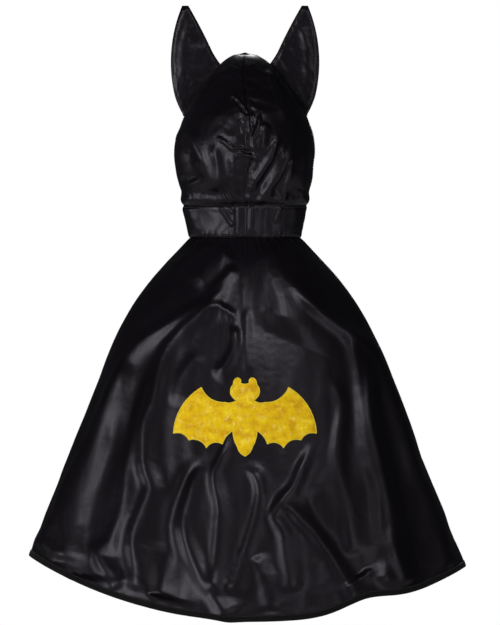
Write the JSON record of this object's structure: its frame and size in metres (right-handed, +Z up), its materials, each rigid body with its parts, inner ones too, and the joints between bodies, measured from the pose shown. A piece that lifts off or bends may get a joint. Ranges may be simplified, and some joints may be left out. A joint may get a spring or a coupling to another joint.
{
  "type": "hooded superhero cape",
  "caption": "Child's bell-shaped satin cape with a hood, two stiff upright ears, a gathered neck band, bound edges, a neck strap closure and a velvet bat applique on the back.",
  "frame": {"origin": "centre of the neck opening, level with the seam between the cape and the neck band", "axes": "+Z up the wearer's neck, +Y the way the wearer faces, so the back of the cape faces -Y, and +X to the wearer's right"},
  "size_m": [0.775, 0.3682, 1.086],
  "materials": {
    "satin": "black polyester satin with a soft sheen",
    "binding": "matte black woven bias tape",
    "velvet": "yellow crushed velvet",
    "foam": "black foam sheet",
    "fastener": "black hook and loop tape",
    "ribbon": "white satin ribbon, blank"
  },
  "bodies": {
    "cape": {"cape_panel": "satin", "hem_binding": "binding", "front_binding_left": "binding", "front_binding_right": "binding", "bat_applique": "velvet", "neck_band_left": "satin", "neck_band_right": "satin", "neck_facing": "satin", "care_label": "ribbon", "loop_patch": "fastener", "closure_tab_base": "satin"},
    "strap": {"closure_tab": "satin", "hook_patch": "fastener"},
    "hood": {"hood_panel_left": "satin", "hood_panel_right": "satin", "face_binding": "binding"},
    "ear_left": {"ear_left_front": "satin", "ear_left_stiffener": "foam", "ear_left_back": "satin"},
    "ear_right": {"ear_right_front": "satin", "ear_right_stiffener": "foam", "ear_right_back": "satin"}
  },
  "joints": [
    {"name": "hood_push_back", "type": "hinge", "parent": "cape", "child": "hood", "pos_m": [0, -0.062, 0.058], "axis": [1, 0, 0], "range_deg": [0, 100]},
    {"name": "ear_left_bend", "type": "hinge", "parent": "hood", "child": "ear_left", "pos_m": [-0.0831, 0.014, 0.2681], "axis": [0.5728, 0, 0.8197], "range_deg": [-50, 50], "stiffness_Nm_per_rad": 0.05},
    {"name": "ear_right_bend", "type": "hinge", "parent": "hood", "child": "ear_right", "pos_m": [0.0831, 0.014, 0.2681], "axis": [0.5728, 0, -0.8197], "range_deg": [-50, 50], "stiffness_Nm_per_rad": 0.05},
    {"name": "strap_open", "type": "hinge", "parent": "cape", "child": "strap", "pos_m": [-0.01, 0.0625, 0.03], "axis": [0, 0, 1], "range_deg": [0, 110]}
  ]
}
